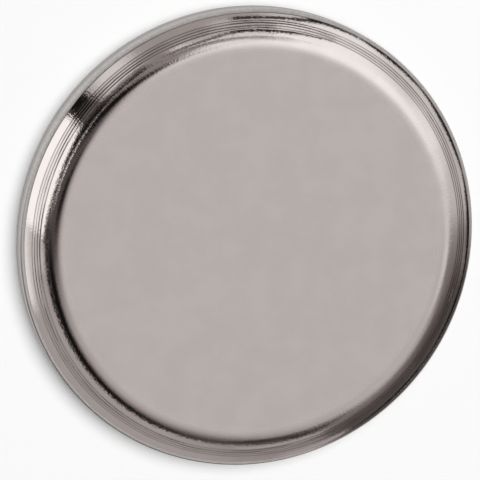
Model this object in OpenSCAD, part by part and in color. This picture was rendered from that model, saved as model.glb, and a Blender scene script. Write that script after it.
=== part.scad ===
// Disc magnet: a thin round magnet with a flat front face, a rounded shoulder that carries fine ring
// grooves, a crease and narrow lip round its edge and a low side wall. It is one solid piece, bright
// nickel plated.
// Millimetres. +Z is the disc's axis, towards the front face, and the origin is the centre of the
// back face, on which it lies.

/* [Disc] */
// Outside diameter of the side wall
disc_d = 25; // [15:0.5:40]
// Thickness from the back face to the front face
disc_t = 2; // [1.7:0.05:3]
// Radius of the small rounding round the back face
back_edge_r = 0.15; // [0.05:0.01:0.3]

/* [Side] */
// Height of the crease that runs round the edge
crease_h = 1.22; // [0.95:0.01:1.3]
// Distance of the crease inwards from the side wall
crease_inset = 0.21; // [0.05:0.01:0.3]
// Radius of the rounding from the side wall onto the narrow lip outside the crease
side_round_r = 0.18; // [0.05:0.01:0.25]

/* [Shoulder] */
// Radial width of the smooth band inside the crease
band_w = 0.36; // [0.1:0.01:0.4]
// Slope of the smooth band, from the horizontal
band_angle = 37; // [10:1:40]
// Slope of the zone that carries the ring grooves, from the horizontal
ring_angle = 28; // [10:1:40]
// Radius of the rounding onto the front face
face_edge_r = 1.25; // [0.2:0.01:1.5]

/* [Ring grooves] */
// Number of ring grooves
groove_count = 4; // [1:1:5]
// Distance from one groove to the next, along the radius
groove_pitch = 0.137; // [0.1:0.001:0.2]
// Distance of the outermost groove inwards from the smooth band
groove_inset = 0.02; // [0:0.01:0.1]
// Depth of a groove
groove_depth = 0.015; // [0.005:0.001:0.03]
// Radius of a groove's round section
groove_r = 0.035; // [0.02:0.001:0.06]

/* [Hidden] */
$fn = 96;

// Radii and heights of the section's corners, from the outside in
disc_r = disc_d / 2;
crease_r = disc_r - crease_inset;
band_r = crease_r - band_w;
band_z = crease_h + band_w * tan(band_angle);

// The rounding leaves a level lip between itself and the crease
lip_min = 0.02;
lip_r = min(side_round_r, crease_inset - lip_min);
wall_top_z = crease_h - lip_r;

// The rounding runs into the ring zone and the front face without an edge, and it is never deeper
// than what is left of the thickness
face_drop = disc_t - band_z;
edge_r = min(face_edge_r, face_drop / (1 - cos(ring_angle)));
edge_drop = edge_r * (1 - cos(ring_angle));
ring_r = band_r - (face_drop - edge_drop) / tan(ring_angle);
ring_z = disc_t - edge_drop;
face_r = ring_r - edge_r * sin(ring_angle);

// Half of the disc's section: straight stretches, with part of a circle over each rounded edge
module section() {
    difference() {
        union() {
            polygon([
                [0, 0],
                [disc_r - back_edge_r, 0],
                [disc_r, back_edge_r],
                [disc_r, wall_top_z],
                [disc_r - lip_r, crease_h],
                [crease_r, crease_h],
                [band_r, band_z],
                [ring_r, ring_z],
                [face_r, disc_t],
                [0, disc_t]
            ]);
            translate([disc_r - back_edge_r, back_edge_r]) circle(back_edge_r);
            translate([disc_r - lip_r, wall_top_z]) circle(lip_r);
            cap([face_r, disc_t - edge_r], edge_r, [ring_r, ring_z], [face_r, disc_t]);
        }
        for (i = [0 : groove_count - 1]) groove(groove_inset + i * groove_pitch);
    }
}

// The part of a circle between its centre and two points on it, out to the corner of their box
module cap(centre, radius, low, high) {
    intersection() {
        translate(centre) circle(radius);
        polygon([centre, low, [low.x, high.y], high]);
    }
}

// One ring groove's section, at a distance inwards from the smooth band
module groove(inset) {
    rise = inset * tan(ring_angle);
    translate([band_r - inset, band_z + rise + groove_r - groove_depth]) circle(groove_r);
}

module magnet_disc() {
    color("silver") rotate_extrude() section();
}

magnet_disc();
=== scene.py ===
import math
from types import SimpleNamespace

import bpy
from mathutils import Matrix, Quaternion, Vector


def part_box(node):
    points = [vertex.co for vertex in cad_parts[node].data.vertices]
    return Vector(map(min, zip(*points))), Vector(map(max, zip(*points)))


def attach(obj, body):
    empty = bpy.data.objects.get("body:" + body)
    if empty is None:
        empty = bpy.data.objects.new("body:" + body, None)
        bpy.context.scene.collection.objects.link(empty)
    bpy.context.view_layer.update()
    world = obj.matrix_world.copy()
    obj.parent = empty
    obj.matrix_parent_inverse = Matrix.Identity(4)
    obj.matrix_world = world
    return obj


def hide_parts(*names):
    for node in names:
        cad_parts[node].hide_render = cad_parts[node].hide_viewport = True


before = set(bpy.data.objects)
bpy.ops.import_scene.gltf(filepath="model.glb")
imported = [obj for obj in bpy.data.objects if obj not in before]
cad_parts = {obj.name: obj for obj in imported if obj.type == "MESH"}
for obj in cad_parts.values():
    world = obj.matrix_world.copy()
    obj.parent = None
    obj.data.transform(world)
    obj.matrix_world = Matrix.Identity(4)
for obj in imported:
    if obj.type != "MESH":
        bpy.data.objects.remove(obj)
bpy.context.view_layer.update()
low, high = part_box("magnet_disc")
mm = 0.001
centre = Vector(((low.x + high.x) / 2, (low.y + high.y) / 2, low.z))
discRadius = (high.x - low.x) / 2
discHeight = high.z - low.z
print("disc: %.2f mm across, %.2f mm thick" % (2 * discRadius / mm, discHeight / mm))


def selectNone():
    if bpy.context.object and bpy.context.object.mode != "OBJECT":
        bpy.ops.object.mode_set(mode="OBJECT")
    bpy.ops.object.select_all(action="DESELECT")


def hangAbove(name, data, setup):
    # on a line that leans off the disc's axis, looking back at the disc
    lean, towards = math.radians(setup["lean"]), math.radians(setup["towards"])
    out = Vector((math.sin(lean) * math.cos(towards), math.sin(lean) * math.sin(towards), math.cos(lean)))
    item = bpy.data.objects.new(name, data)
    bpy.context.scene.collection.objects.link(item)
    item.rotation_mode = "QUATERNION"
    item.rotation_quaternion = Quaternion((-math.sin(towards), math.cos(towards), 0), lean)
    item.location = centre + out * setup["distance"] * discRadius
    return item


# camera: a long lens that leans a little off the disc's axis
cameraSetup = {
    "lean": 18.26,        # degrees off the disc's axis
    "towards": 140.87,    # compass direction of the lean, from +X
    "distance": 16.67,    # in disc radii
    "lens": 289.9,
    "sensor": 36,
    "shift": (-0.0090, -0.0103),
    "clip": (0.01, 20),
}


def aimCamera(setup):
    data = bpy.data.cameras.new("viewCamera")
    data.lens, data.sensor_width = setup["lens"], setup["sensor"]
    data.shift_x, data.shift_y = setup["shift"]
    data.clip_start, data.clip_end = setup["clip"]
    bpy.context.scene.camera = hangAbove("viewCamera", data, setup)


aimCamera(cameraSetup)
print("camera set")

# the half section, in mm; a tilt is how far the surface leans from level, in degrees
discShape = {
    "backRound": 0.15,
    "creaseIn": 0.21,      # inwards from the side wall
    "creaseHeight": 1.22,
    "lipRound": 0.18,      # from the side wall onto the level lip outside the crease
    "bandWide": 0.36,
    "bandTilts": (34.2, 31),
    "ringTilts": (30.8, 24.3),
    "grooves": ((11.915, 0.002), (11.79, 0.003), (11.66, 0.003), (11.53, 0.002)),   # radius, depth
    "grooveWide": 0.1,
    "markAt": 11.11,       # a faint ring where the face rounding ends
    "markTilt": 20.5,
    "markDeep": 0.0012,
    "markWide": 0.08,
    "easeAt": 10.62,       # the face starts to fall away gently before it turns down
    "easeTilt": 4,
    "easeFrom": 10.25,
    # how fine the mesh is
    "segments": 512,       # round the disc
    "points": {"back": 6, "wall": 4, "lip": 12, "band": 22, "rings": 100, "round": 26, "ease": 12},
    "backFlat": 0.3,              # rings this far inside the curves' edges keep the flats flat
    "faceFlat": (0.05, 0.4),
    "creaseNear": (0.003, 0.002),     # points this close to the crease, in and up, keep it sharp
    "weldWithin": 0.0002,
}


def arcPoints(start, tiltFrom, tiltTo, width, count):
    # points on an arc that goes from one tilt to another over this width
    a, b = math.radians(tiltFrom), math.radians(tiltTo)
    radius = width / (math.sin(a) - math.sin(b))
    middleR = start[0] - radius * math.sin(a)
    middleZ = start[1] - radius * math.cos(a)
    found = []
    for i in range(1, count + 1):
        t = a + (b - a) * i / count
        found.append((middleR + radius * math.sin(t), middleZ + radius * math.cos(t)))
    return found


def sideLine(shape, outer):
    # the flat back, its rounding, the side wall and the rounding onto the lip
    back, points = shape["backRound"], shape["points"]
    wallTop = shape["creaseHeight"] - shape["lipRound"]
    line = [(0, 0), (outer - back - shape["backFlat"], 0), (outer - back, 0)]
    for i in range(1, points["back"] + 1):
        t = math.pi / 2 * i / points["back"]
        line.append((outer - back + back * math.sin(t), back - back * math.cos(t)))
    for i in range(1, points["wall"] + 1):
        line.append((outer, back + (wallTop - back) * i / points["wall"]))
    return line + arcPoints((outer, wallTop), 90, 0, shape["lipRound"], points["lip"])


def bandLine(shape, outer):
    # the crease, a sharp corner, then the smooth band
    r, z = outer - shape["creaseIn"], shape["creaseHeight"]
    near, up = shape["creaseNear"]
    line = [(r + near, z), (r, z), (r - near, z + up)]
    return line + arcPoints((r, z), *shape["bandTilts"], shape["bandWide"], shape["points"]["band"])


def ringLine(shape, start, end):
    # a gently round slope from the band in to the mark, stretched a little in height to meet it
    line = arcPoints(start, *shape["ringTilts"], start[0] - end[0], shape["points"]["rings"])
    print("height left over at the mark: %.4f mm" % (end[1] - line[-1][1]))
    stretch = (end[1] - start[1]) / (line[-1][1] - start[1])
    return [(r, start[1] + (z - start[1]) * stretch) for r, z in line]


def roundingLine(shape, top):
    # from the mark in to the flat face, lifted so that it ends at the top
    mark, easeAt, points = shape["markAt"], shape["easeAt"], shape["points"]
    line = [(mark, 0)]
    line += arcPoints(line[-1], shape["markTilt"], shape["easeTilt"], mark - easeAt, points["round"])
    line += arcPoints(line[-1], shape["easeTilt"], 0, easeAt - shape["easeFrom"], points["ease"])
    lift = top - line[-1][1]
    return [(r, z + lift) for r, z in line]


def cutGrooves(shape, line):
    cuts = [(at, shape["grooveWide"], deep) for at, deep in shape["grooves"]]
    cuts.append((shape["markAt"], shape["markWide"], shape["markDeep"]))
    found = []
    for r, z in line:
        for at, wide, deep in cuts:
            if abs(r - at) < wide / 2:
                z -= deep * (0.5 + 0.5 * math.cos(2 * math.pi * (r - at) / wide))
        found.append((r, z))
    return found


def halfSection(shape):
    outer, top = discRadius / mm, discHeight / mm
    line = sideLine(shape, outer) + bandLine(shape, outer)
    rounding = roundingLine(shape, top)
    line += cutGrooves(shape, ringLine(shape, line[-1], rounding[0]) + rounding[1:-1])
    line += [(shape["easeFrom"] - step, top) for step in (0, *shape["faceFlat"])]
    return line + [(0, top)]


def turnDisc(shape):
    line = [(r * mm, z * mm) for r, z in halfSection(shape)]
    selectNone()
    bpy.ops.mesh.primitive_plane_add(size=mm, location=centre)
    piece = bpy.context.object
    piece.name = piece.data.name = "nickelDisc"
    bpy.ops.object.mode_set(mode="EDIT")
    bpy.ops.mesh.select_all(action="SELECT")
    bpy.ops.mesh.merge(type="CENTER")
    for here, there in zip(line, line[1:]):
        step = (there[0] - here[0], 0, there[1] - here[1])
        bpy.ops.mesh.extrude_region_move(TRANSFORM_OT_translate={"value": step})
    bpy.ops.mesh.select_all(action="SELECT")
    bpy.ops.mesh.spin(steps=shape["segments"], angle=2 * math.pi, center=centre, axis=(0, 0, 1))
    bpy.ops.mesh.select_all(action="SELECT")
    bpy.ops.mesh.remove_doubles(threshold=shape["weldWithin"] * mm)
    bpy.ops.mesh.normals_make_consistent(inside=False)
    bpy.ops.object.mode_set(mode="OBJECT")
    bpy.ops.object.transform_apply(location=True, rotation=True, scale=True)
    bpy.ops.object.shade_smooth()
    return piece


nickelDisc = turnDisc(discShape)
print("disc turned: %d faces" % len(nickelDisc.data.polygons))


def nodeKit(owner):
    # short ways to add nodes to a material or to the world
    owner.use_nodes = True
    nodes, links = owner.node_tree.nodes, owner.node_tree.links

    def put(kind, **settings):
        node = nodes.new(kind)
        for name, value in settings.items():
            setattr(node, name, value)
        return node

    def feed(node, socket, value):
        if hasattr(value, "is_output"):
            links.new(value, node.inputs[socket])
        else:
            node.inputs[socket].default_value = value

    def fill(kind, values, result=0, **settings):
        # a node with its sockets filled, by number or by name
        node = put(kind, **settings)
        for socket, value in values.items():
            feed(node, socket, value)
        return node.outputs[result]

    def maths(kind, *values):
        return fill("ShaderNodeMath", dict(enumerate(values)), operation=kind)

    def times(first, *others):
        for other in others:
            first = maths("MULTIPLY", first, other)
        return first

    def ramp(value, low, high, start=0.0, end=1.0):
        limits = {"Value": value, "From Min": low, "From Max": high, "To Min": start, "To Max": end}
        return fill("ShaderNodeMapRange", limits, "Result", interpolation_type="SMOOTHSTEP")

    def noise(point, scale=1.0, detail=2.0, roughness=0.5):
        look = {"Vector": point, "Scale": scale, "Detail": detail, "Roughness": roughness}
        return fill("ShaderNodeTexNoise", look, "Fac")

    def join(x, y, z):
        return fill("ShaderNodeCombineXYZ", {0: x, 1: y, 2: z})

    def split(point):
        node = put("ShaderNodeSeparateXYZ")
        feed(node, 0, point)
        return node.outputs

    def flatLength(x, y):
        return maths("SQRT", maths("ADD", maths("MULTIPLY", x, x), maths("MULTIPLY", y, y)))

    def mixNumber(mask, a, b):
        return fill("ShaderNodeMix", {0: mask, 2: a, 3: b}, data_type="FLOAT")

    def mixColour(mask, a, b):
        a, b = [c if hasattr(c, "is_output") else (*c, 1) for c in (a, b)]
        return fill("ShaderNodeMix", {0: mask, 6: a, 7: b}, 2, data_type="RGBA")

    return SimpleNamespace(nodes=nodes, put=put, feed=feed, fill=fill, maths=maths, times=times, ramp=ramp,
                           noise=noise, join=join, split=split, flatLength=flatLength,
                           mixNumber=mixNumber, mixColour=mixColour)


# nickel plate: a satin face, a bright drawn shoulder with a fine grain, and a dull brushed side wall
plating = {
    # where the finishes lie, in mm from the axis
    "satinTo": (10.15, 10.6),
    "shoulderFrom": 10.6,
    "sideFrom": 12.31,
    "frontFrom": (1.0, 1.1),    # mm above the table; the back has none of the marks
    # tone
    "colour": (0.657, 0.587, 0.571),
    "paleTint": (0.683, 0.613, 0.597),    # slow colour drift
    "patchesPerMm": 0.7,
    "contrast": (0.35, 0.65),   # of the colour drift and the side wall's marks
    "faceShade": 0.788,         # the satin face against the bright shoulder
    "faceMetal": 0.55,
    "edgeTint": (0.45, 0.44, 0.435),      # keeps the far edge from going white
    "sideColour": (0.76, 0.725, 0.71),
    "sideMarks": 0.88,          # the side wall's brushed marks against its colour
    "sideFoot": 0.72,           # and its foot on the table, darkened as painted shade where the disc's own shadow falls
    "sideRise": (0.4, 1.15),    # mm above the table, from the foot's painted shade to the wall's tone
    "marksPerMm": 6,
    "markMix": (0.6, 0.4),      # shares of the long grain and of the small marks
    # painted light: the side wall's colour on one side of the disc, lighter there
    "rubbedColour": (0.86, 0.82, 0.8),
    # a side of the disc: its compass direction, then the cosines of the angles from it
    # at which it starts and is full
    "rubbedSide": (233, 0.1, 0.9),        # gets painted light on its side wall and less painted shade in its lines
    "farSide": (325, 0.78, 0.92),         # gets a painted dark reflection on its lip
    # painted shade: dark lines in the grooves and at the crease, a painted shadow line on the lip and a
    # painted dark reflection on the far lip
    "dirtColour": (0.06, 0.05, 0.046),
    "dirtAll": 0.15,            # painted shade over the whole groove zone
    "dirtLines": (
        (11.915, 0.035, 0.75, "grooves"),    # radius, half width, strength, where
        (11.79, 0.042, 1, "grooves"),
        (11.66, 0.042, 1, "grooves"),
        (11.53, 0.04, 0.9, "grooves"),
        (12.3, 0.035, 0.95, "crease"),
        # painted shadow: a dark line on the lip of the lit side, for the shadow at the disc's foot
        (12.46, 0.055, 0.85, "rubbedLip"),
        # painted reflection: the far lip darkened as if it mirrored a dark room
        (12.34, 0.12, 0.95, "farLip"),
    ),
    "lineCore": 0.005,          # half width of a line's darkest part
    "cleaned": {"grooves": 0.5, "crease": 0.8},    # how much of the painted shade in these lines is taken off on the lit side
    "streaks": (0.3, 0.7, 0.6, 1),        # the lines vary from the third to the fourth along them
    # gloss
    "faceRoughness": 0.13,
    "shoulderRoughness": 0.05,
    "sideRoughness": 0.75,
    "patchRoughness": 0.03,
    "speckleRoughness": 0.08,
    # marks, in mm
    "grainWide": 0.12,          # round the disc
    "grainLong": 0.16,          # towards the rim
    "grainHeight": 0.0022,
    "teethHeight": 0.002,       # extra, where the face rounds over
    "speckleSize": 0.07,
    "speckleHeight": 0.006,
    "ringStep": 0.08,           # fine lines round the disc, among the grooves
    "ringTurns": 4,
    "ringHeight": 0.0045,
    "faceWaveSize": 1.6,
    "faceWaveHeight": 0.0012,
}


def finishZones(values, shape):
    # in mm from the axis: a finish fades in over its first two radii and out over its last two
    rise, edge, mark = values["shoulderFrom"], values["sideFrom"], shape["markAt"]
    lines = [at for at, deep in shape["grooves"]]
    return {
        "shoulder": (rise, rise + 0.25, edge - 0.02, edge + 0.03),
        "teeth": (rise, rise + 0.15, mark, mark + 0.2),
        "speckle": (mark - 0.12, mark - 0.03, mark, mark + 0.07),
        "grooves": (min(lines) - 0.09, min(lines), max(lines), max(lines) + 0.08),
    }


def discPlaces(kit, values, shape):
    # where a point lies on the disc, and how much of each finish it has
    place = kit.put("ShaderNodeTexCoord").outputs["Object"]
    point = kit.fill("ShaderNodeVectorMath", {0: place, "Scale": 1 / mm}, operation="SCALE")
    x, y, z = kit.split(point)
    radius = kit.flatLength(x, y)
    safe = kit.maths("MAXIMUM", radius, 2.0)      # keeps clear of the axis
    front = kit.ramp(z, *values["frontFrom"])
    at = {"point": point, "height": z, "radius": radius, "front": front}
    at["roundX"], at["roundY"] = kit.maths("DIVIDE", x, safe), kit.maths("DIVIDE", y, safe)
    zones = finishZones(values, shape)
    for name, (start, full, last, end) in zones.items():
        at[name] = kit.times(kit.ramp(radius, start, full), kit.ramp(radius, last, end, 1, 0), front)
    at["side"] = kit.ramp(radius, *zones["shoulder"][2:])
    at["satin"] = kit.times(kit.ramp(radius, *values["satinTo"], 1, 0), front)
    return at


def discTextures(kit, values, at):
    def aroundDisc(turns, step):
        # coordinates that run round the disc and outwards
        outwards = kit.maths("DIVIDE", at["radius"], step)
        return kit.join(kit.times(at["roundX"], turns), kit.times(at["roundY"], turns), outwards)

    edge, speck = values["sideFrom"], values["speckleSize"]
    across = aroundDisc(edge / values["grainWide"], values["grainLong"])
    along = aroundDisc(values["ringTurns"], values["ringStep"])
    return {
        "grain": kit.noise(across, detail=2, roughness=0.6),
        "speckle": kit.noise(aroundDisc(edge / speck, speck), detail=1),
        "rings": kit.noise(along, detail=1),
        "streaks": kit.noise(along, scale=0.5, detail=2),
        "wave": kit.noise(at["point"], scale=1 / values["faceWaveSize"], detail=1),
        "patches": kit.noise(at["point"], scale=values["patchesPerMm"], detail=3, roughness=0.55),
        "marks": kit.noise(at["point"], scale=values["marksPerMm"], detail=3, roughness=0.6),
    }


def oneSide(kit, at, direction, start, full):
    # 1 on the side of the disc in this compass direction, 0 elsewhere
    turn = math.radians(direction)
    part = kit.times(at["roundX"], math.cos(turn))
    return kit.ramp(kit.maths("MULTIPLY_ADD", at["roundY"], math.sin(turn), part), start, full)


def paintedRingShade(kit, values, at, textures, rubbed):
    # painted shade in the grooves and at the crease, a painted shadow line on the lip's lit side and a
    # painted dark reflection on the far lip
    streaky = kit.ramp(textures["streaks"], *values["streaks"])
    where = {"rubbedLip": rubbed, "farLip": oneSide(kit, at, *values["farSide"])}
    for name, share in values["cleaned"].items():
        where[name] = kit.times(streaky, kit.maths("MULTIPLY_ADD", rubbed, -share, 1))
    paintedDark = kit.times(at["grooves"], values["dirtAll"])
    for middle, spread, strength, name in values["dirtLines"]:
        away = kit.maths("ABSOLUTE", kit.maths("SUBTRACT", at["radius"], middle))
        line = kit.ramp(away, values["lineCore"], spread, strength, 0)
        paintedDark = kit.maths("MAXIMUM", paintedDark, kit.times(line, where[name]))
    return kit.times(paintedDark, at["front"])


def nickelTone(kit, values, at, textures):
    patches = kit.ramp(textures["patches"], *values["contrast"])
    tone = kit.mixColour(patches, values["colour"], values["paleTint"])
    # the side wall: brushed marks, painted shade that darkens its foot, and painted light that makes one
    # side lighter
    wall = values["sideColour"]
    marked = [c * values["sideMarks"] for c in wall]
    shadedFoot = [c * values["sideFoot"] for c in wall]
    grainPart, markPart = values["markMix"]
    marks = kit.maths("ADD", kit.times(textures["grain"], grainPart), kit.times(textures["marks"], markPart))
    rubbed = oneSide(kit, at, *values["rubbedSide"])
    sideTone = kit.mixColour(kit.ramp(marks, *values["contrast"]), marked, wall)
    sideTone = kit.mixColour(kit.ramp(at["height"], *values["sideRise"]), shadedFoot, sideTone)
    # painted light: one side of the wall made lighter
    sideTone = kit.mixColour(kit.times(rubbed, at["front"]), sideTone, values["rubbedColour"])
    tone = kit.mixColour(at["side"], tone, sideTone)
    # the satin face is a shade darker
    shade = kit.mixNumber(at["satin"], 1, values["faceShade"])
    tone = kit.fill("ShaderNodeVectorMath", {0: tone, "Scale": shade}, operation="SCALE")
    # painted shade, shadow and dark reflection laid over the tone
    return kit.mixColour(paintedRingShade(kit, values, at, textures, rubbed), tone, values["dirtColour"])


def nickelRoughness(kit, values, at, textures):
    rough = kit.mixNumber(at["shoulder"], values["faceRoughness"], values["shoulderRoughness"])
    rough = kit.mixNumber(at["side"], rough, values["sideRoughness"])
    patchy = kit.maths("SUBTRACT", textures["patches"], 0.5)
    rough = kit.maths("ADD", rough, kit.times(patchy, values["patchRoughness"]))
    return kit.maths("ADD", rough, kit.times(at["speckle"], values["speckleRoughness"]))


def nickelHeight(kit, values, at, textures):
    # in mm; each texture is centred on 0, so that fading it in doesn't tilt the surface
    grainy = kit.times(kit.maths("MAXIMUM", at["shoulder"], at["side"]), values["grainHeight"])
    toothed = kit.times(at["teeth"], values["teethHeight"])
    amounts = {
        "grain": kit.maths("ADD", grainy, toothed),
        "speckle": kit.times(at["speckle"], values["speckleHeight"]),
        "rings": kit.times(at["grooves"], values["ringHeight"]),
    }
    height = kit.times(textures["wave"], values["faceWaveHeight"])
    for name, amount in amounts.items():
        centred = kit.maths("SUBTRACT", textures[name], 0.5)
        height = kit.maths("MULTIPLY_ADD", centred, amount, height)
    return height


def platedNickel(values, shape):
    material = bpy.data.materials.new("brightNickel")
    kit = nodeKit(material)
    at = discPlaces(kit, values, shape)
    textures = discTextures(kit, values, at)
    shader = kit.nodes["Principled BSDF"]
    kit.feed(shader, "Specular Tint", (*values["edgeTint"], 1))
    kit.feed(shader, "Base Color", nickelTone(kit, values, at, textures))
    kit.feed(shader, "Metallic", kit.mixNumber(at["satin"], 1, values["faceMetal"]))
    kit.feed(shader, "Roughness", nickelRoughness(kit, values, at, textures))
    bumps = {"Height": nickelHeight(kit, values, at, textures), "Distance": mm}
    kit.feed(shader, "Normal", kit.fill("ShaderNodeBump", bumps))
    return material


nickelDisc.data.materials.append(platedNickel(plating, discShape))
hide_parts("magnet_disc")
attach(nickelDisc, "root")
print("plating done")

# table top, in metres
tableTop = {"size": 3, "drop": 0.00001, "colour": (0.9, 0.9, 0.9)}


def layTable(values):
    selectNone()
    bpy.ops.mesh.primitive_plane_add(size=values["size"], location=centre - Vector((0, 0, values["drop"])))
    table = bpy.context.object
    table.name = "paleTable"
    material = bpy.data.materials.new("paleTable")
    kit = nodeKit(material)
    shader = kit.nodes["Principled BSDF"]
    kit.feed(shader, "Base Color", (*values["colour"], 1))
    kit.feed(shader, "Roughness", 1)
    kit.feed(shader, "Specular IOR Level", 0)
    table.data.materials.append(material)


layTable(tableTop)

# studio: what the metal mirrors, as soft shapes on a flat map of the sky.
# On the map the disc's axis is 0, 0 and a distance is an angle in degrees; each shape is
# (name, kind, middle x, y, half width, half height, turn, softness, brightness), and later shapes
# lie over earlier ones
studio = {
    "evenLight": 0.24,
    "roomLight": 0.5,
    "tintTop": 1.35,
    "tints": ((0, (1, 0.88, 0.85)), (0.45, (1, 1, 1)), (1, (0.96, 1, 1))),   # brightness / tintTop, colour
    "shapes": [
        ("lowerDark", "round", 11.2, -13, 54, 48.6, -42, 0.8, 0.008),
        ("glow", "round", 8.5, -15.5, 15, 20, 0, 11, 0.62),
        ("rightPanel", "square", 49, 20, 41, 34, -3, 5, 1.16),
        ("rightGlow", "round", 31, 22, 16, 19, -20, 11, 1.36),
        ("lowShade", "square", 70, -36, 60, 30, 14, 19, 0.27),
        ("lowRight", "square", 83.7, -66.2, 36, 29.5, -36, 5, 0.11),
        ("bottomEdge", "round", 26, -52, 14, 13, 10, 3, 0.05),
        ("bottomGlow", "square", 27, -66.5, 12, 2.5, 8, 1.5, 0.5),
        ("bottomFar", "square", 40.8, -78.5, 10.5, 5, 22, 2, 0.5),
        ("midRight", "round", 29, -25, 24, 13, -45, 12, 0.67),
        ("rightFoot", "round", 38, -14, 9, 6.5, -15, 4.5, 0.84),
        ("farRight", "square", 88, 26, 20, 34, -5, 8, 0.7),
        ("rightShade", "round", 63, 31, 11, 11, 0, 7, 0.86),
        ("rimShade1", "square", 73.6, -68.9, 14, 20, -44, 0.9, 0.01),
        ("rimShade2", "square", 90.8, -42.4, 14, 20, -22, 0.9, 0.01),
        ("rimShade3", "square", 95.5, -11.5, 14, 20, 0, 0.9, 0.01),
        ("rimShade4", "square", 88.0, 21.4, 14, 20, 24, 0.9, 0.01),
        ("rimShade5", "square", 69.3, 47.6, 14, 18, 47, 0.9, 0.01),
        ("rimShade6", "square", 47.4, 63.0, 14, 9, 66, 0.9, 0.01),
        ("upperGrey", "square", -4, 27, 17, 13, -14, 4, 0.33),
        ("upperMid", "square", 12, 28, 8, 8, -10, 5, 0.55),
        ("upperGlow", "square", 9.5, 17, 5, 6.3, 0, 2.5, 1.05),
        ("backWall", "square", -5, 52, 24, 9, 0, 5, 0.45),
        ("backMid", "square", 12, 49, 10, 5, 0, 3, 0.68),
        ("rim", "square", 6, 40.5, 14, 2.5, 8, 1.5, 0.95),
        ("brown", "round", -14, -3, 22, 10, -18, 4, 0.11),
        ("cameraDark", "round", -7.5, 10, 10, 6, -20, 4, 0.01),
        ("cameraFoot", "round", -5, -6.5, 8, 3, 5, 2, 0.01),
        ("leftLower", "square", -63, -21, 12, 15, 10, 4, 1.1),
        ("leftMid", "square", -46.5, -14, 5.5, 6, 10, 2.5, 0.75),
        ("panelEdge", "square", -26, 22, 17, 3.5, 50, 1, 0.01),
        ("panelFoot", "square", -37.5, -1, 11, 3.5, 75, 1, 0.05),
        ("leftPanel", "square", -61.3, 14.2, 25.8, 18, -17, 1.2, 1.45),
        ("upperPanel", "square", -31, 43, 7, 14, 40, 5, 0.9),
        ("stand", "square", -32, 25, 4.5, 15, 52, 1.2, 0.01),
        ("standGap", "round", -32.5, 26, 5, 4, 50, 3, 0.16),
        ("beam", "square", 26, 53.5, 17, 1.3, -4, 0.8, 0.02),
        ("seamLeft", "square", 1.5, 40.7, 11, 1.1, 19, 0.7, 0.15),
        ("seam", "square", 23.5, 43, 15, 1.2, -7, 0.5, 0.005),
        ("markWhite", "square", -24.5, 5.5, 2.5, 7, -25, 1, 1.3),
        ("markDark", "square", 10, 32.5, 13, 2, -5, 1, 0.04),
        ("facePanel", "round", 14.2, -11.5, 8.5, 8.5, 0, 2.5, 0.71),
    ],
}


def skyPlace(kit):
    # a ray's direction as a place on the map
    x, y, z = kit.split(kit.put("ShaderNodeTexCoord").outputs["Generated"])
    flat = kit.flatLength(x, y)
    angle = kit.times(kit.maths("ARCTAN2", flat, z), 180 / math.pi)
    stretch = kit.maths("DIVIDE", angle, kit.maths("MAXIMUM", flat, 0.00001))
    return kit.join(kit.times(x, stretch), kit.times(y, stretch), 0)


def shapeMask(kit, skyMap, name, kind, middle, half, turn, soft):
    # 1 inside the shape and 0 outside it
    place = kit.put("ShaderNodeMapping", vector_type="TEXTURE", label=name)
    kit.feed(place, "Vector", skyMap)
    kit.feed(place, "Location", (*middle, 0))
    kit.feed(place, "Rotation", (0, 0, math.radians(turn)))
    if kind == "round":
        kit.feed(place, "Scale", (*half, 1))
        far = kit.fill("ShaderNodeVectorMath", {0: place.outputs[0]}, "Value", operation="LENGTH")
        fade = soft / min(half)
        return kit.ramp(far, 1 - fade, 1 + fade, 1, 0)
    size = kit.fill("ShaderNodeVectorMath", {0: place.outputs[0]}, operation="ABSOLUTE")
    sides = zip(kit.split(size), half)
    return kit.times(*[kit.ramp(far, reach - soft, reach + soft, 1, 0) for far, reach in sides])


def brightnessTint(kit, setup, level):
    # dark parts of the room are warmer, the brightest panels cooler
    tint = kit.put("ShaderNodeValToRGB")
    kit.feed(tint, "Fac", kit.maths("DIVIDE", level, setup["tintTop"]))
    stops = tint.color_ramp.elements
    while len(stops) < len(setup["tints"]):
        stops.new(0.5)
    for stop, (at, colour) in zip(stops, setup["tints"]):
        stop.position, stop.color = at, (*colour, 1)
    return tint.outputs["Color"]


def buildStudio(setup):
    world = bpy.data.worlds.new("studio")
    bpy.context.scene.world = world
    kit = nodeKit(world)
    skyMap = skyPlace(kit)
    level = setup["roomLight"]
    for name, kind, x, y, halfWide, halfHigh, turn, soft, bright in setup["shapes"]:
        mask = shapeMask(kit, skyMap, name, kind, (x, y), (halfWide, halfHigh), turn, soft)
        level = kit.mixNumber(mask, level, bright)
    # mirror rays see the shapes, the camera sees white, and all else gets an even light
    rays = kit.put("ShaderNodeLightPath").outputs
    seen = kit.mixNumber(rays["Is Glossy Ray"], setup["evenLight"], level)
    strength = kit.mixNumber(rays["Is Camera Ray"], seen, 1.0)
    tint = brightnessTint(kit, setup, level)
    background = kit.nodes["Background"]
    kit.feed(background, "Strength", strength)
    kit.feed(background, "Color", kit.mixColour(rays["Is Glossy Ray"], (1, 1, 1), tint))


buildStudio(studio)

# one soft lamp, high on the right; its lean is in degrees off the disc's axis
lamp = {
    "lean": 16,
    "towards": 52,
    "distance": 64,    # in disc radii
    "size": 0.86,
    "power": 6.98,
}


def hangLamp(setup):
    data = bpy.data.lights.new("softLamp", "AREA")
    data.shape = "DISK"
    data.size, data.energy = setup["size"], setup["power"]
    item = hangAbove("softLamp", data, setup)
    item.visible_glossy = False
    item.visible_camera = False


hangLamp(lamp)
print("studio lit")

bpy.context.scene.view_settings.view_transform = "Standard"
